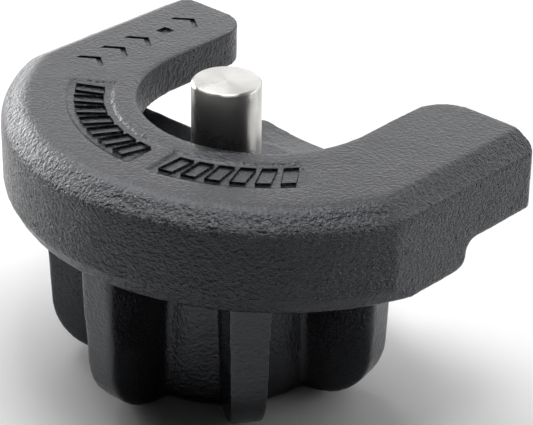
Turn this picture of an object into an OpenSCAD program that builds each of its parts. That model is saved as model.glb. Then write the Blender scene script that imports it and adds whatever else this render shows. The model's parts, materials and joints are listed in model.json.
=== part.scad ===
// Trailer coupler lock: a horseshoe casting that closes round a coupler's nose,
// with a locking pin that stands in the ball socket and a lock unit in the hub below.
// Millimetres. Origin: on the pin's axis, level with the collar's top face.
// +Y points out of the mouth, +Z up, +X to the right arm.

/* [Collar] */
// Half of the collar's width across the arms
collar_half_w = 92.5; // [90:0.5:96]
// Radius of the closed end's outer wall
nose_r = 100.4; // [98:0.2:104]
// How far the centre of that radius lies behind the pin
nose_y = 25.7; // [23:0.1:27]
// Reach of the arm tips behind the pin
tip_y = 63.7; // [60:0.1:66]
// Height of the collar
collar_h = 37.6; // [36:0.2:40]
// Width of the bevel along the top outer edge
bevel_w = 10; // [6:0.5:12]
// Drop of that bevel
bevel_drop = 5.2; // [3:0.2:7]
// Height of the sloping band under the nose
under_h = 6.5; // [4:0.5:8]
// How far that band leans in
under_w = 3.4; // [2:0.2:5]

/* [Mouth and lip slot] */
// Half of the mouth's width, and the radius of its round end
mouth_r = 46.6; // [45:0.1:48]
// Centre of the mouth's round end, behind the pin
mouth_y = 20.6; // [19:0.1:22]
// Half of the width of the slot that takes the coupler's lip
slot_r = 76; // [70:0.5:78]
// Depth of the slot's roof below the top face
slot_roof = 14.6; // [13:0.1:16]
// Depth of the slot's floor below the top face
slot_floor = 27.7; // [27:0.1:29]
// Rear edge of the lower plate, behind the pin
plate_y = 24; // [22:0.5:26]
// Reach of the tongue behind the pin
tongue_y = 46.7; // [44:0.1:48]
// Half of the tongue's width
tongue_half_w = 29; // [26:0.5:32]

/* [Hub] */
// Depth of the hub's bottom face below the top face
hub_z = 102; // [100:0.5:104]
// Radius of the hub's barrel
hub_r = 38; // [37.5:0.1:39]
// Number of fins round the hub
fin_count = 7; // [7:1:7]
// Reach of a fin from the pin's axis
fin_r = 66.5; // [62:0.5:68]
// Thickness of a fin at the collar
fin_top_t = 15.8; // [14:0.2:17]
// Thickness of a fin at its bottom
fin_foot_t = 12.6; // [11:0.2:14]
// Radius of a fin's lower outer corner
fin_corner_r = 24; // [18:0.5:26]

/* [Locking pin] */
// Radius of the locking pin
pin_r = 12.7; // [12.7:0.1:12.7]
// Height of the pin's end above the collar
pin_top = 12.2; // [10:0.2:13]
// Chamfer on the pin's end
pin_chamfer = 0.8; // [0.4:0.1:1.2]

/* [Lock unit] */
// Radius of the lock housing
housing_r = 28.42; // [28.42:0.01:28.42]
// Travel of the two latch bolts
bolt_travel = 5; // [5:0.5:5]
// Radius of a latch bolt
bolt_r = 5; // [5:0.1:5]
// Radius of the key drum
drum_r = 10; // [10:0.1:10]
// Number of tumbler discs
disc_count = 8; // [8:1:8]
// Thickness of a tumbler disc
disc_t = 1.2; // [1.1:0.05:1.2]

/* [Hidden] */

$fn = 64;
eps = 0.01;
far = 200;

// Tip corners and edge roundings of the casting
tip_inner_r = 15;
tip_outer_r = 6;
s_curve_r = 4.95;
s_curve_y = 20;
plate_edge = 3;
tongue_corner_r = 7;
// The dished rear of the tongue is a slice of a large ball
dish_r = 140;
dish_y = 54.5;
dish_z = 138.18 - slot_floor;
foot_bevel = 1.6;
// A fin starts inside the barrel's wall and leans in by its draft
fin_root_r = 33;
fin_draft = 1.5;
fin_crown_r = 12;

// Bore and cavity of the casting, and the liner pressed into it
pin_bore_r = 12.8;
liner_r = 31;
liner_bore_r = 28.5;
cavity_top = -44;
fillet_steps = 8;

// Two arc-shaped sunken panels on the closed end, as [first, last] angles from -Y
panel_depth = 0.8;
panel_r1 = 55;
panel_r2 = 73;
panel_spans = [[-56, 2.5], [8.5, 56]];

// The pin is turned down where it sits in the housing, below the wiper ring's groove
seat_r = 12.5;
wiper_foot = -30.4;
wiper_head = -27.5;
wiper_depth = 1.7;

// Levels of the lock unit, from the top down
housing_top = -44.3;
socket_z = -52.3;
web_z = -56.3;
screw_head_h = 5.5;
bolt_z = -67.5;
cam_top = -74;
cam_t = 3.5;
drum_top = -78.1;
drum_foot = -94.6;
case_foot = -95;
face_foot = -98;
housing_foot = -98;
cover_top = -98.15;
cover_t = 1.4;

// Latch bolts and the cam that draws them in
bolt_tip_locked = 33;
bolt_tip_open = bolt_tip_locked - bolt_travel;
bolt_len = 17.5;
bolt_bore_r = 5.06;
pocket_r = 5.7;
follower_r = 1.5;
follower_open_r = bolt_tip_open - 13.5;
cam_r = 22.5;
cam_slot_half_w = 1.68;
cam_turn = 90;
cam_hub_half = 3.6;

// Disc pack in the key drum
case_r = 14;
drum_clear = 0.06;
pack_r = 8.2;
disc_r = 8.1;
pack_foot = drum_foot + 2;
pack_top = drum_top - 0.9;
drill_plate_t = 1.4;
disc_pitch = 1.5;
spacer_bore_r = 5.2;
key_half_w = 3.4;
key_half_t = 1.3;
gate_half_w = 1.1;
gate_depth = 1.4;

// Keyhole cover and its rivet
cover_pivot_x = 15.5;
cover_eye_r = 4.2;
cover_disc_r = 8.2;
rivet_r = 1.6;
rivet_head_r = 3.4;
cover_bore_r = 1.7;
face_r = 24;
face_screw_r = 19.5;
face_screw_count = 3;

// ---- Shared shapes -------------------------------------------------------

// Points of an arc in the plane, from angle a0 to a1
function arc(cx, cy, r, a0, a1, n = fillet_steps) =
    [for (i = [0:n]) [cx + r * cos(a0 + (a1 - a0) * i / n),
                      cy + r * sin(a0 + (a1 - a0) * i / n)]];

// Angles of the fins: the first points along -Y
function fin_angle(i) = -90 + 360 * i / fin_count;

// Places an extrusion of a (y, z) outline so that it runs along X
module along_x(x0, x1) {
    translate([x0, 0, 0])
        rotate([90, 0, 90])
            linear_extrude(x1 - x0) children();
}

module tube(r1, r2, z0, z1) {
    translate([0, 0, z0]) difference() {
        cylinder(r = r2, h = z1 - z0);
        translate([0, 0, -1]) cylinder(r = r1, h = z1 - z0 + 2);
    }
}

module rod(r, z0, z1) {
    translate([0, 0, z0]) cylinder(r = r, h = z1 - z0);
}

module ring(r, wire_r, z) {
    translate([0, 0, z]) rotate_extrude() translate([r, 0]) circle(r = wire_r, $fn = 24);
}

// ---- Casting -------------------------------------------------------------

// The collar's outer shape: a turned nose cut by the arms' cross-section
module collar_outside() {
    intersection() {
        translate([0, nose_y, 0]) rotate_extrude($fn = 180)
            polygon([[0, -collar_h], [nose_r - under_w, -collar_h],
                     [nose_r, under_h - collar_h], [nose_r, -bevel_drop],
                     [nose_r - bevel_w, 0], [0, 0]]);
        translate([0, tip_y, 0]) rotate([90, 0, 0]) linear_extrude(far)
            polygon([[-collar_half_w, -collar_h], [collar_half_w, -collar_h],
                     [collar_half_w, -bevel_drop], [collar_half_w - bevel_w, 0],
                     [bevel_w - collar_half_w, 0], [-collar_half_w, -bevel_drop]]);
    }
}

// Everything below the slot's floor and behind the stepped skirt
module rear_step() {
    outline = concat([[far, -far], [s_curve_y, -far], [s_curve_y, -collar_h]],
                     arc(s_curve_y, s_curve_r - collar_h, s_curve_r, -90, 0),
                     arc(s_curve_y + 2 * s_curve_r, s_curve_r - collar_h, s_curve_r, 180, 90),
                     [[far, 2 * s_curve_r - collar_h]]);
    along_x(-far, far) polygon(outline);
}

module u_shape(r, depth_top, depth_foot, y_end) {
    translate([0, 0, -depth_foot]) linear_extrude(depth_foot - depth_top) union() {
        translate([0, mouth_y]) circle(r = r, $fn = 120);
        translate([-r, mouth_y]) square([2 * r, y_end - mouth_y]);
    }
}

// Cuts the arm tips round in plan, inside and outside
module tip_corner(side) {
    outer_x = collar_half_w - tip_outer_r;
    inner_x = mouth_r + tip_inner_r;
    translate([0, 0, -far / 2]) linear_extrude(far) scale([side, 1]) union() {
        difference() {
            translate([outer_x, tip_y - tip_outer_r]) square(2 * tip_outer_r);
            translate([outer_x, tip_y - tip_outer_r]) circle(r = tip_outer_r);
        }
        difference() {
            translate([mouth_r - tip_inner_r, tip_y - tip_inner_r])
                square([2 * tip_inner_r, 2 * tip_inner_r]);
            translate([inner_x, tip_y - tip_inner_r]) circle(r = tip_inner_r);
        }
    }
}

// The plate's rear edge between the arms, rounded above and below
module plate() {
    outline = concat([[0, -collar_h]],
                     arc(plate_y - plate_edge, plate_edge - collar_h, plate_edge, -90, 0),
                     arc(plate_y - plate_edge, -slot_floor - plate_edge, plate_edge, 0, 90),
                     [[0, -slot_floor]]);
    along_x(-slot_r - 1, slot_r + 1) polygon(outline);
}

module tongue() {
    difference() {
        translate([0, 0, -collar_h]) linear_extrude(collar_h - slot_floor) union() {
            translate([-tongue_half_w, 0]) square([2 * tongue_half_w, tongue_y - tongue_corner_r]);
            translate([tongue_corner_r - tongue_half_w, 0])
                square([2 * (tongue_half_w - tongue_corner_r), tongue_y]);
            for (s = [-1, 1])
                translate([s * (tongue_half_w - tongue_corner_r), tongue_y - tongue_corner_r])
                    circle(r = tongue_corner_r);
        }
        translate([0, dish_y, dish_z]) sphere(r = dish_r, $fn = 90);
    }
}

// One fin along +X: its side outline, narrowed towards the foot. A fin under the
// collar runs up into it, and one behind the plate has a rounded crown.
module fin(crowned) {
    z_top = -collar_h + 1;
    head = crowned ? arc(fin_r - fin_crown_r, -collar_h - fin_crown_r, fin_crown_r, 0, 90)
                   : [[fin_r, z_top]];
    side = concat([[fin_root_r, crowned ? -collar_h : z_top], [fin_root_r, -hub_z]],
                  arc(fin_r - fin_draft - fin_corner_r, fin_corner_r - hub_z, fin_corner_r, -90, 0),
                  head);
    intersection() {
        translate([0, fin_top_t, 0]) rotate([90, 0, 0]) linear_extrude(2 * fin_top_t) polygon(side);
        along_x(0, far)
            polygon([[-fin_top_t / 2, z_top], [-fin_foot_t / 2, -hub_z],
                     [fin_foot_t / 2, -hub_z], [fin_top_t / 2, z_top]]);
    }
}

module hub() {
    translate([0, 0, -hub_z]) cylinder(r1 = hub_r - foot_bevel, r2 = hub_r, h = foot_bevel);
    rod(hub_r, foot_bevel - hub_z, -collar_h + 1);
    for (i = [0:fin_count - 1]) rotate([0, 0, fin_angle(i)]) fin(sin(fin_angle(i)) > 0.5);
}

module panels() {
    for (span = panel_spans) translate([0, mouth_y, -panel_depth]) linear_extrude(5)
        intersection() {
            difference() {
                circle(r = panel_r2, $fn = 120);
                circle(r = panel_r1, $fn = 120);
            }
            polygon([[0, 0], far * [sin(span[0]), -cos(span[0])],
                     far * [sin(span[1]), -cos(span[1])]]);
        }
}

module body_casting() {
    color([0.16, 0.16, 0.17]) difference() {
        union() {
            difference() {
                collar_outside();
                u_shape(mouth_r, -1, slot_roof + 1, far);
                u_shape(slot_r, slot_roof, slot_floor, far);
                rear_step();
                for (s = [-1, 1]) tip_corner(s);
                translate([-slot_r, mouth_y, -far - slot_floor + eps]) cube([2 * slot_r, far, far]);
                panels();
            }
            plate();
            tongue();
            hub();
            rod(hub_r - 4, cavity_top - 2, -slot_floor - 1);
        }
        rod(pin_bore_r, -far, far);
        rod(liner_r, -far, cavity_top);
        for (s = [-1, 1]) translate([0, 0, bolt_z]) rotate([0, 90 * s, 0])
            translate([0, 0, liner_r - 1]) cylinder(r = pocket_r, h = 4.6);
    }
}

module bore_liner() {
    color([0.72, 0.73, 0.74]) difference() {
        tube(liner_bore_r, liner_r, 2 - hub_z, cavity_top);
        for (s = [-1, 1]) translate([0, 0, bolt_z]) rotate([0, 90 * s, 0])
            translate([0, 0, liner_bore_r - 6]) cylinder(r = pocket_r, h = 12);
        translate([-2.15, -far, -far]) cube([4.3, far, far - 57.5]);
    }
}

// ---- Pin and housing -----------------------------------------------------

module locking_pin() {
    color([0.85, 0.84, 0.82]) difference() {
        union() {
            rod(seat_r, socket_z, wiper_foot);
            rod(pin_r - wiper_depth, wiper_foot - 0.1, wiper_head + 0.1);
            rod(pin_r, wiper_head, pin_top - pin_chamfer);
            translate([0, 0, pin_top - pin_chamfer])
                cylinder(r1 = pin_r, r2 = pin_r - pin_chamfer, h = pin_chamfer);
        }
        rod(5, socket_z - 1, -34);
    }
}

module pin_wiper_ring() {
    color([0.1, 0.1, 0.1]) ring(pin_r - 0.8, wiper_depth / 2, (wiper_foot + wiper_head) / 2);
}

module pin_retaining_screw() {
    color([0.3, 0.3, 0.32]) difference() {
        union() {
            rod(4.95, -58, -36);
            rod(8, web_z - screw_head_h, web_z);
        }
        translate([0, 0, web_z - screw_head_h - 1]) cylinder(r = 4.6, h = 4.5, $fn = 6);
    }
}

module lock_housing() {
    bore_end = cam_r + 0.5;
    color([0.7, 0.71, 0.72]) difference() {
        rod(housing_r, housing_foot, housing_top);
        // socket of the pin, screw hole and room for the screw's head
        rod(seat_r, socket_z, housing_top + 1);
        rod(5.2, web_z - 1, socket_z + 1);
        rod(9, bolt_z, web_z);
        // latch bolts
        for (s = [-1, 1]) translate([0, 0, bolt_z]) rotate([0, 90 * s, 0])
            cylinder(r = bolt_bore_r, h = far);
        // slots for the follower pins, cam chamber and cylinder bore
        translate([-25, -2, cam_top - 1]) cube([50, 4, bolt_z - cam_top + 1]);
        rod(bore_end, drum_top + 0.1, cam_top + 0.5);
        rod(6.4, cam_top, cam_top + 2);
        rod(case_r, housing_foot - 1, drum_top + 1);
        rod(face_r, face_foot - 1, case_foot);
        // dowel hole and groove for the sealing ring
        translate([0, 0, -61]) rotate([90, 0, 0]) translate([0, 0, 22]) cylinder(r = 2, h = 20);
        tube(housing_r - 1.5, housing_r + 2, -89.2, -86.8);
        // threads of the face plate's screws
        for (i = [0:face_screw_count - 1]) rotate([0, 0, 90 + 120 * i])
            translate([face_screw_r, 0, case_foot]) cylinder(r = 1.5, h = 8);
    }
}

module housing_o_ring() {
    color([0.1, 0.1, 0.1]) ring(housing_r - 0.75, 0.72, -88);
}

module anti_rotation_dowel() {
    color([0.6, 0.6, 0.62]) translate([0, 0, -61]) rotate([90, 0, 0])
        translate([0, 0, 22]) cylinder(r = 2, h = 8.4);
}

// ---- Latch bolts and cam -------------------------------------------------

module latch_bolt(side) {
    color([0.62, 0.62, 0.6]) scale([side, 1, 1]) difference() {
        translate([bolt_tip_open - bolt_len, 0, bolt_z]) rotate([0, 90, 0]) {
            cylinder(r = bolt_r, h = bolt_len - 1);
            translate([0, 0, bolt_len - 1]) cylinder(r1 = bolt_r, r2 = bolt_r - 1, h = 1);
        }
        translate([follower_open_r, 0, bolt_z - 10]) cylinder(r = follower_r, h = 12);
    }
}

module latch_bolt_left() { latch_bolt(-1); }

module latch_bolt_right() { latch_bolt(1); }

module follower_pin(side) {
    color([0.8, 0.8, 0.8]) translate([side * follower_open_r, 0, cam_top - cam_t + 0.4])
        cylinder(r = follower_r, h = bolt_z + 2 - (cam_top - cam_t + 0.4));
}

module follower_pin_left() { follower_pin(-1); }

module follower_pin_right() { follower_pin(1); }

// A slot whose radius grows evenly with the angle, so that the bolts move evenly
function spiral(offset, n = 24) =
    [for (i = [0:n]) (follower_open_r + bolt_travel * i / n + offset)
                     * [cos(-cam_turn * i / n), sin(-cam_turn * i / n)]];

module spiral_slot() {
    outer = spiral(cam_slot_half_w);
    inner = spiral(-cam_slot_half_w);
    last = len(inner) - 1;
    linear_extrude(cam_t + 2) union() {
        polygon(concat(outer, [for (i = [0:last]) inner[last - i]]));
        translate([follower_open_r, 0]) circle(r = cam_slot_half_w);
        rotate(-cam_turn) translate([follower_open_r + bolt_travel, 0]) circle(r = cam_slot_half_w);
    }
}

module cam_plate() {
    color([0.75, 0.68, 0.45]) difference() {
        rod(cam_r, cam_top - cam_t, cam_top);
        for (a = [0, 180]) rotate([0, 0, a]) translate([0, 0, cam_top - cam_t - 1]) spiral_slot();
        translate([-cam_hub_half, -cam_hub_half, cam_top - cam_t - 1])
            cube([2 * cam_hub_half, 2 * cam_hub_half, cam_t + 2]);
    }
}

module cam_retaining_ring() {
    color([0.3, 0.3, 0.32]) difference() {
        tube(3.05, 5.6, cam_top + 0.02, cam_top + 0.82);
        translate([0, -1.2, cam_top - 1]) cube([10, 2.4, 3]);
    }
}

// ---- Key cylinder --------------------------------------------------------

module cylinder_case() {
    color([0.78, 0.66, 0.36]) difference() {
        tube(drum_r + drum_clear, case_r, case_foot, drum_top + 0.6);
        // the groove that the sidebar stands in while the lock is shut
        translate([-gate_half_w, drum_r - 2, pack_foot]) cube([2 * gate_half_w, 3.3, 13]);
    }
}

module key_slot(z0, z1) {
    translate([-key_half_w, -key_half_t, z0]) cube([2 * key_half_w, 2 * key_half_t, z1 - z0]);
}

module key_drum() {
    color([0.8, 0.8, 0.78]) difference() {
        rod(drum_r, drum_foot, drum_top);
        rod(pack_r, pack_foot, drum_top + 1);
        key_slot(drum_foot - 1, pack_foot + 1);
        translate([-gate_half_w, pack_r - 1, pack_foot]) cube([2 * gate_half_w, 4, 12.8]);
    }
}

function disc_z(i) = pack_foot + drill_plate_t + 0.15 + (i - 1) * disc_pitch;

// Closes the drum, and turns the cam plate with its square
module cam_driver() {
    color([0.8, 0.8, 0.78]) {
        rod(pack_r - 0.04, pack_top, drum_top);
        translate([0, 0, drum_top]) linear_extrude(cam_top - drum_top)
            square(2 * (cam_hub_half - 0.02), center = true);
        rod(3, cam_top, cam_top + 1.6);
    }
}

module tumbler_disc(i) {
    color([0.82, 0.7, 0.4]) translate([0, 0, disc_z(i)]) difference() {
        cylinder(r = disc_r, h = disc_t);
        translate([0, 0, -1]) key_slot(0, disc_t + 2);
        // the true gate lies under the sidebar, a shallow false gate beside it
        translate([-gate_half_w, disc_r - gate_depth, -1]) cube([2 * gate_half_w, 4, disc_t + 2]);
        rotate([0, 0, 30 + 17 * i]) translate([-0.8, disc_r - 0.5, -1]) cube([1.6, 2, disc_t + 2]);
    }
}

module disc_spacers() {
    color([0.75, 0.75, 0.77]) for (i = [1:disc_count - 1]) difference() {
        tube(spacer_bore_r, disc_r - 0.2, disc_z(i) + disc_t + 0.02, disc_z(i + 1) - 0.02);
        translate([-gate_half_w, disc_r - gate_depth - 0.3, -far]) cube([2 * gate_half_w, 4, far]);
    }
}

module sidebar() {
    color([0.7, 0.7, 0.72]) translate([-0.95, disc_r - gate_depth + 0.1, pack_foot + 0.2])
        cube([1.9, drum_r - 0.3 - (disc_r - gate_depth + 0.1), 12.2]);
}

module anti_drill_plate() {
    color([0.45, 0.45, 0.48]) difference() {
        rod(disc_r, pack_foot + 0.04, pack_foot + drill_plate_t);
        key_slot(-far, 0);
        translate([-gate_half_w, disc_r - gate_depth, -far]) cube([2 * gate_half_w, 4, far]);
    }
}

// ---- Face plate and keyhole cover ----------------------------------------

module face_plate() {
    color([0.68, 0.69, 0.7]) difference() {
        rod(face_r - 0.03, face_foot, case_foot - 0.02);
        rod(7, -far, 0);
        for (i = [0:face_screw_count - 1]) rotate([0, 0, 90 + 120 * i])
            translate([face_screw_r, 0, face_foot]) {
                translate([0, 0, -1]) cylinder(r = 1.6, h = 6);
                translate([0, 0, -eps]) cylinder(r1 = 3.1, r2 = 1.6, h = 1.5);
            }
        translate([cover_pivot_x, 0, face_foot - 1]) cylinder(r = rivet_r, h = 6);
    }
}

module face_plate_screws() {
    color([0.5, 0.5, 0.52]) for (i = [0:face_screw_count - 1]) rotate([0, 0, 90 + 120 * i])
        translate([face_screw_r, 0, face_foot]) difference() {
            union() {
                translate([0, 0, 0.05]) cylinder(r1 = 2.95, r2 = 1.45, h = 1.5);
                translate([0, 0, 1.5]) cylinder(r = 1.42, h = 7);
            }
            translate([0, 0, -1]) cylinder(r = 1.1, h = 2, $fn = 6);
        }
}

// A teardrop cover: an eye on the rivet, a disc over the keyhole and a web between
module keyhole_cover() {
    color([0.82, 0.82, 0.84]) translate([0, 0, cover_top - cover_t]) difference() {
        union() {
            cylinder(r = cover_disc_r, h = cover_t);
            translate([cover_pivot_x, 0, 0]) cylinder(r = cover_eye_r, h = cover_t);
            translate([0, -cover_eye_r, 0]) cube([cover_pivot_x, 2 * cover_eye_r, cover_t]);
        }
        translate([cover_pivot_x, 0, -1]) cylinder(r = cover_bore_r, h = cover_t + 2);
    }
}

module cover_rivet() {
    color([0.75, 0.75, 0.77]) translate([cover_pivot_x, 0, 0]) {
        rod(rivet_r, cover_top - cover_t - 0.5, case_foot - 0.3);
        rod(rivet_head_r, cover_top - cover_t - 1.6, cover_top - cover_t - 0.45);
    }
}

module cover_spring_washer() {
    color([0.6, 0.6, 0.62]) translate([cover_pivot_x, 0, 0])
        tube(rivet_r + 0.15, 3, cover_top - cover_t - 0.4, cover_top - cover_t - 0.05);
}

body_casting();
bore_liner();
locking_pin();
pin_wiper_ring();
pin_retaining_screw();
lock_housing();
housing_o_ring();
anti_rotation_dowel();
latch_bolt_left();
latch_bolt_right();
follower_pin_left();
follower_pin_right();
cam_plate();
cam_retaining_ring();
cam_driver();
cylinder_case();
key_drum();
disc_spacers();
sidebar();
anti_drill_plate();
face_plate();
face_plate_screws();
keyhole_cover();
cover_rivet();
cover_spring_washer();
for (i = [1:disc_count])
    tumbler_disc(i);
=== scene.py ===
# %% [markdown]
# # A trailer coupler lock
# The real lock is one heavy iron casting, a horseshoe on a finned hub, with a polished steel pin standing
# in its mouth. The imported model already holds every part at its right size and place, so this lesson adds
# only what a hand would feel: soft foundry edges, orange-peel paint, turned steel. Two pieces are remade as
# finer meshes, and the others get finishes.

# %% Load the frame
import json
import math

import bmesh
import bpy
import numpy as np
from mathutils import Matrix, Vector


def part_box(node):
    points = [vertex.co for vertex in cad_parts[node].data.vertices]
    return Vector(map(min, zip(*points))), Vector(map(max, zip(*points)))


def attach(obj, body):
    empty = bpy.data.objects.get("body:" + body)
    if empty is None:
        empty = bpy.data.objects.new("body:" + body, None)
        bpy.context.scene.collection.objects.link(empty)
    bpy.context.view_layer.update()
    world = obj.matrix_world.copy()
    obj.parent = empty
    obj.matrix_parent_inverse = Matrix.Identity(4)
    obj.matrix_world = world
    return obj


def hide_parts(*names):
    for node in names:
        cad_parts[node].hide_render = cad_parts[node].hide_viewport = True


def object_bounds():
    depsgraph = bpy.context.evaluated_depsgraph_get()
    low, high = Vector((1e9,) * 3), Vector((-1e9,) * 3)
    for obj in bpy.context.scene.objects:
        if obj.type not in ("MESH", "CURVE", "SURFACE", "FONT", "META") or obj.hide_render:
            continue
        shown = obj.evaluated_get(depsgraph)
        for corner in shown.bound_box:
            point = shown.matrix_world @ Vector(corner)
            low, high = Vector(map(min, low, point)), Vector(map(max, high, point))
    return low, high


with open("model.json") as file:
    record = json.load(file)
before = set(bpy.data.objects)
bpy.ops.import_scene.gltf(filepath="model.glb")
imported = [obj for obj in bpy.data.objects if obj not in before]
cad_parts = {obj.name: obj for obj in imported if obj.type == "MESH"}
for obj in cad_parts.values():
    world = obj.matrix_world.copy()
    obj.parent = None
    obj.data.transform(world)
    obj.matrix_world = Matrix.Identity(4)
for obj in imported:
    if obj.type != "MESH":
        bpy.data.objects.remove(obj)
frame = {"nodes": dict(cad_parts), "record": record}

cad_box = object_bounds()
node = frame["nodes"]
MM = 0.001
print("loaded", len(node), "parts, overall size", [round(v, 4) for v in cad_box[1] - cad_box[0]])

# %% [markdown]
# ## Measures taken from the frame
# A position copied by eye drifts as soon as the design changes. So the places come from the parts' own
# boxes, and only the few radii that a box can't tell are written down here, in metres.

# %% Driving places
casting_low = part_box("body_casting")[0]
pin_low, pin_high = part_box("locking_pin")
FOOT_Z = casting_low.z
NOSE_Y = 25.7 * MM
NOSE_R = NOSE_Y - casting_low.y
MOUTH_Y = 20.6 * MM
MOUTH_R = 46.6 * MM
COLLAR_H = 37.6 * MM
PIN_R = pin_high.x
LINER_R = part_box("bore_liner")[1].x
LINER_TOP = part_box("bore_liner")[1].z
print("nose radius", round(NOSE_R, 4), "pin radius", round(PIN_R, 4))


# %% [markdown]
# ## Small helpers
# Every finished piece sits at the origin with its place in its mesh. Modifiers are settled into the mesh at
# the end, so the mesh holds the shape that is seen.

# %% Helpers for pieces
def new_piece(name, mesh_or_bmesh):
    """Link a mesh, or the mesh of a bmesh, as an object at the origin."""
    mesh = mesh_or_bmesh
    if isinstance(mesh_or_bmesh, bmesh.types.BMesh):
        mesh = bpy.data.meshes.new(name)
        mesh_or_bmesh.to_mesh(mesh)
        mesh_or_bmesh.free()
    piece = bpy.data.objects.new(name, mesh)
    bpy.context.scene.collection.objects.link(piece)
    return piece


def settle(piece):
    """Turn the piece's modifiers into plain mesh."""
    depsgraph = bpy.context.evaluated_depsgraph_get()
    mesh = bpy.data.meshes.new_from_object(piece.evaluated_get(depsgraph))
    piece.modifiers.clear()
    piece.data = mesh


def modify(piece, kind, **settings):
    """Add a modifier and set its values."""
    modifier = piece.modifiers.new(kind.lower(), kind)
    for key, value in settings.items():
        setattr(modifier, key, value)
    return modifier


def report(piece):
    triangles = sum(len(p.vertices) - 2 for p in piece.data.polygons)
    print(f"{piece.name}: {len(piece.data.vertices)} vertices, {triangles} triangles")


# %% [markdown]
# ## The casting, from a sharp model to an iron one
# Sand moulding leaves no sharp edge: every corner is round, and the top edge of the nose most of all.
# Bevelling each edge of such a merged shape tends to fail where edges meet. Instead the part is wrapped in
# an even skin of small squares by a voxel remesh, and that skin is smoothed, more in some zones than in
# others.

# %% Wrap the casting in an even skin
SKIN = 0.8 * MM


def merged_copy(name, source):
    """A copy of a part's mesh whose loose triangles are joined."""
    work = bmesh.new()
    work.from_mesh(source.data)
    bmesh.ops.remove_doubles(work, verts=work.verts, dist=0.001 * MM)
    return new_piece(name, work)


casting = merged_copy("collar_casting", node["body_casting"])
modify(casting, "REMESH", mode="VOXEL", voxel_size=SKIN)
settle(casting)
report(casting)


# %% [markdown]
# Zones are vertex groups: a weight from 0 to 1 on each point of the skin, worked out from where the point
# lies. A ramp lets a zone fade out, so that a strongly rounded edge runs into a crisp one without a step.

# %% Zones of the casting
points = np.empty(len(casting.data.vertices) * 3)
casting.data.vertices.foreach_get("co", points)
x, y, z = points.reshape(-1, 3).T
from_nose = np.hypot(x, y - NOSE_Y)
from_mouth = np.hypot(x, y - MOUTH_Y)
WEIGHT_STEPS = 10


def ramp(value, start, end):
    """0 at start, 1 at end, straight in between; start and end are in millimetres."""
    return np.clip((value / MM - start) / (end - start), 0, 1)


def zone(name, weight):
    """Store a weight as a vertex group, in a few even steps."""
    group = casting.vertex_groups.new(name=name)
    level = np.round(weight * WEIGHT_STEPS).astype(int)
    for step in range(1, WEIGHT_STEPS + 1):
        group.add(np.flatnonzero(level == step).tolist(), step / WEIGHT_STEPS, "REPLACE")
    print("zone", name, "covers", int((level > 0).sum()), "points")


top_face = ramp(z, -2.5, -1)
panel_band = top_face * ramp(from_mouth, 50, 53) * ramp(-from_mouth, -79, -75) * ramp(-y, -5, 0)
nose_edge = ramp(from_nose, 79, 86) * ramp(z, -15, -9) * ramp(-y, 4, 16)
arm_edge = ramp(abs(x), 77, 80) * ramp(z, -13, -7) * ramp(y, -16, -6)
mouth_edge = ramp(-abs(from_mouth - MOUTH_R), -6, -2) * ramp(z, -6, -3) * ramp(-y, -35, -15)
hub_zone = ramp(-z, COLLAR_H / MM - 1, COLLAR_H / MM + 4)
bore_zone = ramp(-np.hypot(x, y), -34, -33)

zone("everywhere", 1 - 0.6 * panel_band)
zone("nose_edge", nose_edge)
zone("arm_edge", arm_edge)
zone("mouth_edge", mouth_edge)
zone("hub", hub_zone * (1 - bore_zone))
zone("rough_iron", (1 - 0.7 * top_face) * (1 - bore_zone) * (1 - 0.5 * hub_zone))
zone("all_iron", (1 - 0.5 * top_face) * (1 - bore_zone))

# %% [markdown]
# Smoothing pulls every point towards its neighbours. A few passes only ease an edge, and many passes make
# it broadly round. Then two cloud textures push the skin inwards: long waves from the mould, and the
# pebbles of rough iron. They only push inwards, so the piece never grows past its design. Last, flat places
# give up the triangles that they don't need.

# %% Round the edges and roughen the iron
SMOOTHING = {"everywhere": 5, "nose_edge": 85, "arm_edge": 5, "mouth_edge": 22, "hub": 20}
UNDULATION = (11 * MM, 0.3 * MM, "all_iron")
PEBBLES = (1.7 * MM, 0.2 * MM, "rough_iron")
TRIANGLE_GOAL = 186_000

for group_name, passes in SMOOTHING.items():
    modify(casting, "SMOOTH", vertex_group=group_name, factor=0.5, iterations=passes)
for size, depth, group_name in (UNDULATION, PEBBLES):
    clouds = bpy.data.textures.new(f"clouds_{group_name}", "CLOUDS")
    clouds.noise_scale = size
    clouds.noise_depth = 1
    modify(casting, "DISPLACE", texture=clouds, texture_coords="LOCAL", vertex_group=group_name,
           strength=-depth, mid_level=0)
settle(casting)
modify(casting, "TRIANGULATE")
modify(casting, "DECIMATE", ratio=TRIANGLE_GOAL / (2 * len(casting.data.polygons)))
settle(casting)
report(casting)


# %% [markdown]
# ## Raised pattern and engraved marks
# The closed end has two sunken panels with raised strokes, and the left arm has engraved marks. A plain
# tread of leaning hollow bars and a row of chevrons with one small square fill those places here. Each
# stroke is one flat outline that is extruded; a boolean then joins or cuts it, because the voxel skin is
# too coarse for strokes of two millimetres.

# %% Strokes as extruded outlines
def prism(work, outline, thickness, place, hollow=0):
    """Extrude a flat outline upwards by thickness, and put it where place says."""
    face = work.faces.new([work.verts.new((u, v, 0)) for u, v in outline])
    faces = [face]
    if hollow:
        rim = bmesh.ops.inset_region(work, faces=faces, thickness=hollow, use_boundary=True,
                                      use_even_offset=True)
        bmesh.ops.delete(work, geom=faces, context="FACES_ONLY")
        faces = rim["faces"]
    made = bmesh.ops.extrude_face_region(work, geom=faces, use_keep_orig=True)
    top = [g for g in made["geom"] if isinstance(g, bmesh.types.BMVert)]
    bmesh.ops.translate(work, verts=top, vec=(0, 0, thickness))
    bottom = {v for f in faces for v in f.verts}
    bmesh.ops.transform(work, matrix=place, verts=list(bottom) + top)


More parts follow.
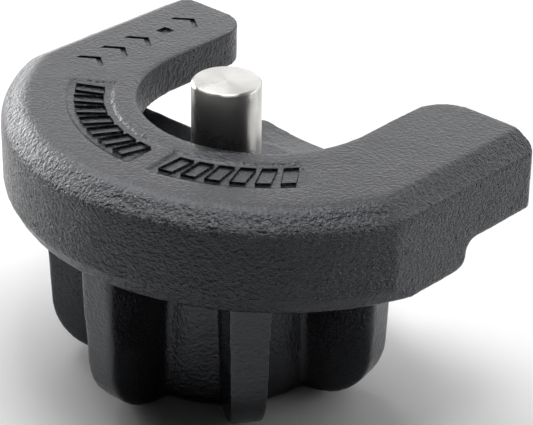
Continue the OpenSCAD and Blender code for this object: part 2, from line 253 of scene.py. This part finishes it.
def along_nose(angle, radius, height):
    """Where a stroke goes: angle from the nose's middle, radius from the mouth's centre."""
    turn = Matrix.Rotation(angle, 4, "Z")
    return Matrix.Translation((0, MOUTH_Y, 0)) @ turn @ Matrix.Translation((0, -radius, height))


PANEL_SPANS = ((-53.5, 0.5), (11, 54))
BAR_PITCH = 8.4 * MM
BAR_R = 64.2 * MM
BAR_HALF_W, BAR_HALF_H, BAR_LEAN = 2.7 * MM, 5.4 * MM, 1.3 * MM
BAR_STROKE = 1.5 * MM
BAR_TOP, BAR_FOOT = -0.08 * MM, -2.4 * MM

tread = bmesh.new()
for first, last in PANEL_SPANS:
    arc = math.radians(last - first)
    count = round(arc * BAR_R / BAR_PITCH)
    for i in range(count):
        outline = [(-BAR_HALF_W - BAR_LEAN, -BAR_HALF_H), (BAR_HALF_W - BAR_LEAN, -BAR_HALF_H),
                   (BAR_HALF_W + BAR_LEAN, BAR_HALF_H), (-BAR_HALF_W + BAR_LEAN, BAR_HALF_H)]
        angle = math.radians(first) + arc * (i + 0.5) / count
        prism(tread, outline, BAR_TOP - BAR_FOOT, along_nose(angle, BAR_R, BAR_FOOT), BAR_STROKE)
bmesh.ops.recalc_face_normals(tread, faces=tread.faces)
upper = [e for e in tread.edges if min(v.co.z for v in e.verts) > BAR_TOP - 0.1 * MM]
bmesh.ops.bevel(tread, geom=upper, offset=0.35 * MM, segments=2, profile=0.5, affect="EDGES", material=-1)
tread_piece = new_piece("tread_strokes", tread)
report(tread_piece)

# %% Engraved chevrons
MARK_X = -66 * MM
MARK_FROM, MARK_PITCH, MARK_COUNT = -3 * MM, 12.5 * MM, 5
MARK_HALF, MARK_STROKE, MARK_DEPTH = 6.4 * MM, 2.5 * MM, 1.0 * MM

marks = bmesh.new()
for i in range(MARK_COUNT):
    a, b, t = MARK_HALF, MARK_HALF * 0.55, MARK_STROKE
    outline = [(-a, -b), (0, b - t), (a, -b), (a, t - b), (0, b), (-a, t - b)]
    if i == MARK_COUNT - 2:
        outline = [(-t, -t), (t, -t), (t, t), (-t, t)]
    place = Matrix.Translation((MARK_X, MARK_FROM + i * MARK_PITCH, -MARK_DEPTH))
    prism(marks, outline, 4 * MM, place)
bmesh.ops.recalc_face_normals(marks, faces=marks.faces)
marks_piece = new_piece("engraved_marks", marks)
report(marks_piece)

# %% [markdown]
# The bore for the pin and the cavity for the liner are machined on the real part, so they are cut last, by
# true cylinders, through the rough skin.

# %% Bore, cavity and marks
ROUND = 160
BORE_GAP = 0.15 * MM


def cylinder(name, radius, low, high):
    work = bmesh.new()
    bmesh.ops.create_cone(work, cap_ends=True, segments=ROUND, radius1=radius, radius2=radius,
                          depth=high - low)
    bmesh.ops.translate(work, verts=work.verts, vec=(0, 0, (low + high) / 2))
    return new_piece(name, work)


tools = [
    (tread_piece, "UNION"),
    (marks_piece, "DIFFERENCE"),
    (cylinder("pin_drill", PIN_R + BORE_GAP, LINER_TOP - MM, MM), "DIFFERENCE"),
    (cylinder("liner_drill", LINER_R, FOOT_Z - MM, LINER_TOP), "DIFFERENCE"),
]
for tool, operation in tools:
    modify(casting, "BOOLEAN", object=tool, operation=operation, solver="MANIFOLD")
settle(casting)
for tool, _ in tools:
    bpy.data.objects.remove(tool)
casting.vertex_groups.clear()
casting.data.shade_smooth()
casting.data.set_sharp_from_angle(angle=math.radians(42))
report(casting)
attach(casting, "casting")
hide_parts("body_casting")


# %% [markdown]
# ## The locking pin
# The pin is turned from round bar: straight walls, a groove for its wiper, a small chamfer, and a blind
# thread below. That is half a cross-section spun round the axis. The spin is closed by merging, and every
# crisp edge gets a hairline round, which is what catches the light on real turned work.

# %% Spin the pin
WIPER_FOOT, WIPER_HEAD, WIPER_R = -30.4 * MM, -27.5 * MM, PIN_R - 1.7 * MM
SEAT_R, THREAD_R, THREAD_TOP = 12.5 * MM, 5 * MM, -34 * MM
CHAMFER = 0.8 * MM

half_section = [
    (0, THREAD_TOP), (THREAD_R, THREAD_TOP), (THREAD_R, pin_low.z),
    (SEAT_R, pin_low.z), (SEAT_R, WIPER_FOOT),
    (WIPER_R, WIPER_FOOT), (WIPER_R, WIPER_HEAD), (PIN_R, WIPER_HEAD), (PIN_R, pin_high.z - CHAMFER),
    (PIN_R - CHAMFER, pin_high.z), (0, pin_high.z),
]


def spun(name, section, steps=ROUND):
    """Spin a half cross-section of (radius, height) points round the Z axis."""
    work = bmesh.new()
    ring = [work.verts.new((r, 0, h)) for r, h in section]
    edges = [work.edges.new(pair) for pair in zip(ring, ring[1:])]
    bmesh.ops.spin(work, geom=ring + edges, cent=(0, 0, 0), axis=(0, 0, 1), angle=2 * math.pi, steps=steps,
                   use_merge=True)
    bmesh.ops.remove_doubles(work, verts=work.verts, dist=0.0005 * MM)
    bmesh.ops.recalc_face_normals(work, faces=work.faces)
    return new_piece(name, work)


def finish_turned(piece, edge_round=0.12 * MM, sharp=30):
    """Round the crisp edges of a turned piece by a hair, and shade it smooth."""
    modify(piece, "BEVEL", width=edge_round, segments=2, limit_method="ANGLE", angle_limit=math.radians(25))
    settle(piece)
    piece.data.shade_smooth()
    piece.data.set_sharp_from_angle(angle=math.radians(sharp))
    report(piece)


pin = spun("turned_pin", half_section)
finish_turned(pin)
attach(pin, "lock_unit")
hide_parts("locking_pin")


# %% [markdown]
# ## Effects that several finishes share
# A node group is a small machine that is built once and set differently in each material. Three are enough
# here: the pebbled skin of paint on iron, an uneven handled look, and the fine rings that a lathe leaves.

# %% Node group helpers
def effect(name, inputs, outputs):
    """An empty node group with named float inputs and outputs."""
    group = bpy.data.node_groups.new(name, "ShaderNodeTree")
    for label, default in inputs.items():
        socket = group.interface.new_socket(label, in_out="INPUT", socket_type="NodeSocketFloat")
        socket.default_value = default
    for label in outputs:
        group.interface.new_socket(label, in_out="OUTPUT", socket_type="NodeSocketFloat")
    return group, group.nodes.new("NodeGroupInput"), group.nodes.new("NodeGroupOutput")


def add(tree, kind, **settings):
    """Add a node; settings that name a socket set its value, others set the node."""
    made = tree.nodes.new("ShaderNode" + kind)
    for key, value in settings.items():
        label = key.replace("_", " ").title()
        if label in made.inputs:
            made.inputs[label].default_value = value
        else:
            setattr(made, key, value)
    return made


def join(tree, *links):
    for source, target in links:
        tree.links.new(source, target)


def calc(tree, operation, a, b=None, clamp=False):
    """A Math node whose inputs are sockets or numbers."""
    made = tree.nodes.new("ShaderNodeMath")
    made.operation = operation
    made.use_clamp = clamp
    for slot_index, value in enumerate((a, b)):
        if isinstance(value, (int, float)):
            made.inputs[slot_index].default_value = value
        elif value is not None:
            tree.links.new(value, made.inputs[slot_index])
    return made.outputs[0]


# %% The pebbled skin
pebble_skin, inp, out = effect("pebble_skin", {"Cells": 900, "Fine": 2600, "Fine Share": 0.3}, ["Height"])
place = add(pebble_skin, "TexCoord")
warp = add(pebble_skin, "TexNoise", scale=500, detail=1)
cells = add(pebble_skin, "TexNoise", detail=1.5, roughness=0.55, distortion=0.3)
fine = add(pebble_skin, "TexNoise", detail=1, roughness=0.5)
join(pebble_skin, (place.outputs["Object"], cells.inputs["Vector"]),
     (place.outputs["Object"], fine.inputs["Vector"]), (place.outputs["Object"], warp.inputs["Vector"]),
     (inp.outputs["Cells"], cells.inputs["Scale"]),
     (inp.outputs["Fine"], fine.inputs["Scale"]))
patches = calc(pebble_skin, "ADD", warp.outputs["Fac"], 0.5)
big = calc(pebble_skin, "MULTIPLY", cells.outputs["Fac"], patches)
small = calc(pebble_skin, "MULTIPLY", fine.outputs["Fac"], inp.outputs["Fine Share"])
join(pebble_skin, (calc(pebble_skin, "ADD", big, small), out.inputs["Height"]))

# %% The handled look
handled, inp, out = effect("handled", {"Scale": 60, "Low": 0.3, "High": 0.5}, ["Value", "Mask"])
place = add(handled, "TexCoord")
blotch = add(handled, "TexNoise", detail=5, roughness=0.6)
spread = add(handled, "MapRange", from_min=0.35, from_max=0.65)
level = add(handled, "MapRange")
join(handled, (place.outputs["Object"], blotch.inputs["Vector"]),
     (inp.outputs["Scale"], blotch.inputs["Scale"]),
     (blotch.outputs["Fac"], spread.inputs["Value"]), (spread.outputs["Result"], level.inputs["Value"]),
     (inp.outputs["Low"], level.inputs["To Min"]), (inp.outputs["High"], level.inputs["To Max"]),
     (level.outputs["Result"], out.inputs["Value"]), (spread.outputs["Result"], out.inputs["Mask"]))

# %% Lathe rings
lathe_rings, inp, out = effect("lathe_rings", {"Pitch": 5000, "Centre X": 0}, ["Height"])
place = add(lathe_rings, "TexCoord")
split = add(lathe_rings, "SeparateXYZ")
join(lathe_rings, (place.outputs["Object"], split.inputs["Vector"]))
off_x = calc(lathe_rings, "SUBTRACT", split.outputs["X"], inp.outputs["Centre X"])
radius = calc(lathe_rings, "SQRT", calc(lathe_rings, "ADD", calc(lathe_rings, "MULTIPLY", off_x, off_x),
              calc(lathe_rings, "MULTIPLY", split.outputs["Y"], split.outputs["Y"])))
across = add(lathe_rings, "CombineXYZ")
rings = add(lathe_rings, "TexNoise", scale=1, detail=3, roughness=0.7)
join(lathe_rings, (calc(lathe_rings, "MULTIPLY", radius, inp.outputs["Pitch"]), across.inputs["X"]),
     (calc(lathe_rings, "MULTIPLY", split.outputs["Z"], inp.outputs["Pitch"]), across.inputs["Y"]),
     (across.outputs["Vector"], rings.inputs["Vector"]), (rings.outputs["Fac"], out.inputs["Height"]))
print("node groups:", [g.name for g in bpy.data.node_groups])


# %% [markdown]
# ## Black paint on iron
# Powder coat is a thick, slightly glossy skin. It fills the pits but keeps the pebbles, so the height comes
# from the pebble group, the top faces and the hub get less of it than the walls, and the roughness drifts a
# little over the surface.

# %% Material helpers
def place_group(tree, group, **values):
    made = tree.nodes.new("ShaderNodeGroup")
    made.node_tree = group
    for key, value in values.items():
        made.inputs[key.replace("_", " ").title()].default_value = value
    return made


def new_material(name, **shader_values):
    """A material with its Principled shader; values set on the shader's own sockets."""
    material = bpy.data.materials.new(name)
    material.use_nodes = True
    tree = material.node_tree
    shader = tree.nodes["Principled BSDF"]
    for key, value in shader_values.items():
        shader.inputs[key.replace("_", " ").title().replace("Ior", "IOR")].default_value = value
    return material, tree, shader


def two_tone(tree, mask, dark, light):
    mix = add(tree, "Mix", data_type="RGBA")
    for socket in mix.inputs:
        if socket.name in "AB" and socket.type == "RGBA":
            socket.default_value = (*(dark if socket.name == "A" else light), 1)
    tree.links.new(mask, mix.inputs["Factor"])
    return next(s for s in mix.outputs if s.type == "RGBA")


def bump(tree, height, distance, strength=1.0):
    made = add(tree, "Bump", strength=strength, distance=distance)
    tree.links.new(height, made.inputs["Height"])
    return made.outputs["Normal"]


# %% Powder coat
def powder_coat():
    material, tree, shader = new_material("black_powder_coat", specular_ior_level=0.66,
                                          specular_tint=(0.91, 0.94, 1.0, 1.0))
    skin = place_group(tree, pebble_skin, cells=780, fine=2200, fine_share=0.45)
    look = place_group(tree, handled, scale=45, low=0.18, high=0.26)
    facing = add(tree, "TexCoord")
    split = add(tree, "SeparateXYZ")
    join(tree, (facing.outputs["Normal"], split.inputs["Vector"]))
    upward = calc(tree, "MULTIPLY", split.outputs["Z"], split.outputs["Z"])
    wall_share = calc(tree, "SUBTRACT", 1, calc(tree, "MULTIPLY", upward, 0.87))
    place = add(tree, "SeparateXYZ")
    above_hub = add(tree, "MapRange", from_min=-COLLAR_H - 4 * MM, from_max=-COLLAR_H, to_min=0.2,
                    to_max=1.0)
    join(tree, (facing.outputs["Object"], place.inputs["Vector"]),
         (place.outputs["Z"], above_hub.inputs["Value"]))
    share = calc(tree, "MULTIPLY", wall_share, above_hub.outputs["Result"])
    height = calc(tree, "MULTIPLY", skin.outputs["Height"], share)
    join(tree, (two_tone(tree, look.outputs["Mask"], (0.008, 0.0083, 0.0095), (0.013, 0.0135, 0.0155)),
                shader.inputs["Base Color"]),
         (look.outputs["Value"], shader.inputs["Roughness"]),
         (bump(tree, height, 1.6 * MM), shader.inputs["Normal"]))
    return material


# %% [markdown]
# ## Metals
# A lathe or a grinder leaves fine lines, and light spreads across them. The Anisotropic value does that,
# with a tangent that runs round the axis and is turned by a quarter, so that the shine spreads across the
# lines: an hourglass on a turned face, upright stripes on the pin's wall.

# %% One function for every metal
def metal(name, dark, light, roughness, anisotropy=0.0, pitch=6000, depth=0.004 * MM, metallic=1.0):
    material, tree, shader = new_material(name, metallic=metallic, anisotropic=anisotropy,
                                          anisotropic_rotation=0.25)
    look = place_group(tree, handled, scale=90, low=roughness[0], high=roughness[1])
    lines = place_group(tree, lathe_rings, pitch=pitch)
    join(tree, (two_tone(tree, look.outputs["Mask"], dark, light), shader.inputs["Base Color"]),
         (look.outputs["Value"], shader.inputs["Roughness"]),
         (bump(tree, lines.outputs["Height"], depth), shader.inputs["Normal"]))
    if anisotropy:
        round_axis = add(tree, "Tangent", direction_type="RADIAL", axis="Z")
        join(tree, (round_axis.outputs["Tangent"], shader.inputs["Tangent"]))
    return material


def rubber():
    material, tree, shader = new_material("black_rubber", specular_ior_level=0.4)
    look = place_group(tree, handled, scale=150, low=0.6, high=0.8)
    skin = place_group(tree, pebble_skin, cells=4000, fine=9000, fine_share=0.5)
    join(tree, (two_tone(tree, look.outputs["Mask"], (0.012, 0.012, 0.012), (0.022, 0.022, 0.021)),
                shader.inputs["Base Color"]),
         (look.outputs["Value"], shader.inputs["Roughness"]),
         (bump(tree, skin.outputs["Height"], 0.03 * MM), shader.inputs["Normal"]))
    return material


finishes = {
    "powder_coat": powder_coat(),
    "stainless": metal("polished_stainless", (0.54, 0.53, 0.51), (0.64, 0.63, 0.61), (0.26, 0.32), 0.8),
    "stainless_satin": metal("satin_stainless", (0.5, 0.5, 0.5), (0.62, 0.62, 0.61), (0.32, 0.42), 0.5),
    "liner_steel": metal("honed_sleeve", (0.42, 0.43, 0.44), (0.55, 0.56, 0.57), (0.28, 0.4), pitch=4000),
    "hard_steel": metal("ground_hard_steel", (0.38, 0.38, 0.4), (0.5, 0.5, 0.52), (0.25, 0.38)),
    "black_steel": metal("black_oxide", (0.025, 0.025, 0.028), (0.05, 0.05, 0.055), (0.35, 0.5),
                         metallic=0.6),
    "nickel": metal("nickel_plate", (0.6, 0.58, 0.53), (0.7, 0.68, 0.63), (0.18, 0.3)),
    "brass": metal("machined_brass", (0.58, 0.41, 0.17), (0.74, 0.56, 0.27), (0.24, 0.38)),
    "rubber": rubber(),
}
print("finishes:", ", ".join(finishes))

# %% Put a finish on every part
for part in frame["record"]["subparts"]:
    mesh = node[part["node"]].data
    mesh.materials.clear()
    mesh.materials.append(finishes[part["material_slot"]])
for piece, slot_name in ((casting, "powder_coat"), (pin, "stainless")):
    piece.data.materials.clear()
    piece.data.materials.append(finishes[slot_name])

# %% [markdown]
# ## Stage, light and camera
# The floor is plain and pale. The light is soft: a sky that is bright behind the object and dark on the
# camera's side, a key box high on the left, a box overhead, and a panel each at the left and at the right
# rear. Curved black edges then get a bright line and a dark one, as they do between the panels of a studio.

# %% Floor
FLOOR_SIZE = 8.0
floor_mesh = bmesh.new()
bmesh.ops.create_grid(floor_mesh, x_segments=4, y_segments=4, size=FLOOR_SIZE / 2)
bmesh.ops.translate(floor_mesh, verts=floor_mesh.verts, vec=(0, 0, cad_box[0].z))
floor = new_piece("pale_floor", floor_mesh)
floor_material, _, floor_shader = new_material("pale_floor", roughness=1.0, specular_ior_level=0.0)
floor_shader.inputs["Base Color"].default_value = (0.95, 0.95, 0.95, 1)
floor.data.materials.append(floor_material)

# %% Camera
CAMERA_TURN, CAMERA_RISE, CAMERA_ROLL = math.radians(43.8), math.radians(26.1), math.radians(0.3)
CAMERA_DISTANCE = 0.8
CAMERA_LENS = 150.7
AIM_RIGHT, AIM_UP = 14.36 * MM, -36.34 * MM


def direction_at(turn, rise):
    """A unit vector: turn 0 points along -Y, and rise is above the horizon."""
    return Vector((math.sin(turn) * math.cos(rise), -math.cos(turn) * math.cos(rise), math.sin(rise)))


back = direction_at(CAMERA_TURN, CAMERA_RISE)
level_right = Vector((math.cos(CAMERA_TURN), math.sin(CAMERA_TURN), 0))
level_up = back.cross(level_right)
right = math.cos(CAMERA_ROLL) * level_right + math.sin(CAMERA_ROLL) * level_up
up = back.cross(right)
eye = back * CAMERA_DISTANCE
target = right * AIM_RIGHT + up * AIM_UP
look = (eye - target).normalized()
side = up.cross(look).normalized()
camera = bpy.data.objects.new("camera", bpy.data.cameras.new("camera"))
camera.matrix_world = Matrix.Translation(eye) @ Matrix((side, look.cross(side), look)).transposed().to_4x4()
camera.data.lens = CAMERA_LENS
camera.data.clip_start = 0.01
bpy.context.scene.collection.objects.link(camera)
bpy.context.scene.camera = camera
print("camera at", [round(v, 4) for v in eye])


# %% Lights
def softbox(name, place, aim, width, height, power):
    data = bpy.data.lights.new(name, "AREA")
    data.shape = "RECTANGLE"
    data.size, data.size_y, data.energy = width, height, power
    lamp = bpy.data.objects.new(name, data)
    lamp.location = place
    lamp.rotation_mode = "QUATERNION"
    lamp.rotation_quaternion = (Vector(place) - Vector(aim)).to_track_quat("Z", "Y")
    bpy.context.scene.collection.objects.link(lamp)


OBJECT_MIDDLE = (cad_box[0] + cad_box[1]) / 2
softbox("key_box", (-0.48, 0.08, 0.77), OBJECT_MIDDLE, 0.6, 0.6, 4.0)
softbox("overhead_box", (0.05, 0.05, 0.95), OBJECT_MIDDLE, 0.45, 0.45, 3.5)
softbox("left_panel", (-0.8, 0.05, 0.12), OBJECT_MIDDLE, 0.5, 0.4, 4.0)
softbox("rear_panel", (0.62, 0.66, 0.05), OBJECT_MIDDLE, 0.5, 0.4, 2.0)

# %% Sky
SKY_BRIGHT, SKY_DARK, SKY_SEEN = 1.45, 0.02, 1.0
DARK_TURN, DARK_RISE = CAMERA_TURN - math.radians(30), math.radians(15)
DARK_EDGE, BRIGHT_EDGE = 0.4, -0.7

sky = bpy.data.worlds.new("studio_sky")
sky.use_nodes = True
bpy.context.scene.world = sky
tree = sky.node_tree
tree.nodes.clear()
direction = add(tree, "TexCoord")
toward_dark = add(tree, "VectorMath", operation="DOT_PRODUCT")
toward_dark.inputs[1].default_value = direction_at(DARK_TURN, DARK_RISE)
away = add(tree, "MapRange", from_min=DARK_EDGE, from_max=BRIGHT_EDGE)
join(tree, (direction.outputs["Generated"], toward_dark.inputs[0]),
     (toward_dark.outputs["Value"], away.inputs["Value"]))
bright_share = calc(tree, "POWER", away.outputs["Result"], 2.0)
glow = calc(tree, "ADD", calc(tree, "MULTIPLY", bright_share, SKY_BRIGHT), SKY_DARK)
lit = add(tree, "Background")
seen = add(tree, "Background", strength=SKY_SEEN)
ray = add(tree, "LightPath")
mixed = add(tree, "MixShader")
world_out = add(tree, "OutputWorld")
join(tree, (glow, lit.inputs["Strength"]), (ray.outputs["Is Camera Ray"], mixed.inputs["Fac"]),
     (lit.outputs["Background"], mixed.inputs[1]), (seen.outputs["Background"], mixed.inputs[2]),
     (mixed.outputs["Shader"], world_out.inputs["Surface"]))
lit.inputs["Color"].default_value = (1, 1, 1, 1)
seen.inputs["Color"].default_value = (1, 1, 1, 1)
bpy.context.scene.view_settings.view_transform = "Standard"
